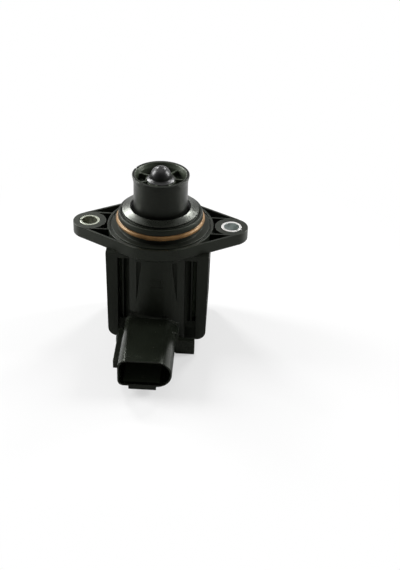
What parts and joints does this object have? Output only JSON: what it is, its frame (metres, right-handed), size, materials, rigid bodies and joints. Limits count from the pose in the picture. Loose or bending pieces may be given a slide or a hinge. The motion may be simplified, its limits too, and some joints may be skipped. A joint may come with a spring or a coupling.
{
  "type": "turbo diverter valve",
  "caption": "Electric diverter valve for a turbocharger: flanged black body, sprung piston in a sealed spigot, solenoid inside and a plug connector in front.",
  "frame": {"origin": "centre of the flange's mounting face, on the axis of the valve", "axes": "+Z along the valve's axis, out of the port; +X along the line of the two bolts; the connector leaves the body along -Y"},
  "size_m": [0.074, 0.0741, 0.078],
  "materials": {
    "body_plastic": "satin, glass-filled nylon",
    "cover_plastic": "satin, glass-filled nylon",
    "guide_plastic": "satin",
    "bobbin_plastic": "satin",
    "piston_plastic": "smooth turned satin",
    "cap_plastic": "semi-gloss",
    "retainer_plastic": "polished",
    "seal_rubber": "matt",
    "ring_rubber": "matt, copper brown",
    "damper_rubber": "matt",
    "bush_steel": "rolled strip, dull",
    "core_steel": "turned and plated",
    "rod_steel": "ground",
    "spring_steel": "drawn wire",
    "terminal_tin": "tin plated",
    "sleeve_brass": "drawn tube",
    "bearing_bronze": "sintered",
    "winding_copper": "enamelled wire"
  },
  "bodies": {
    "valve_body": {"housing": "body_plastic", "base_cover": "cover_plastic", "yoke_frame": "core_steel", "pole_plate": "core_steel", "pole_core": "core_steel", "guide_sleeve": "sleeve_brass", "coil_bobbin": "bobbin_plastic", "coil_winding": "winding_copper", "terminal_left": "terminal_tin", "terminal_right": "terminal_tin", "bearing_flange": "guide_plastic", "rod_bearing": "bearing_bronze", "inner_seal": "seal_rubber", "stop_damper": "damper_rubber", "piston_seal": "seal_rubber", "seal_retainer": "retainer_plastic", "port_o_ring": "ring_rubber", "bush_left": "bush_steel", "bush_right": "bush_steel", "return_spring": "spring_steel"},
    "piston_group": {"piston": "piston_plastic", "rod_cap": "cap_plastic", "hub_washer": "rod_steel", "valve_rod": "rod_steel", "armature": "core_steel"}
  },
  "joints": [
    {"name": "piston_slide", "type": "slide", "parent": "valve_body", "child": "piston_group", "axis": [0, 0, -1], "range_m": [0, 0.008], "stiffness_N_per_m": 1200, "springref_m": -0.008, "deforming": ["return_spring"]}
  ]
}
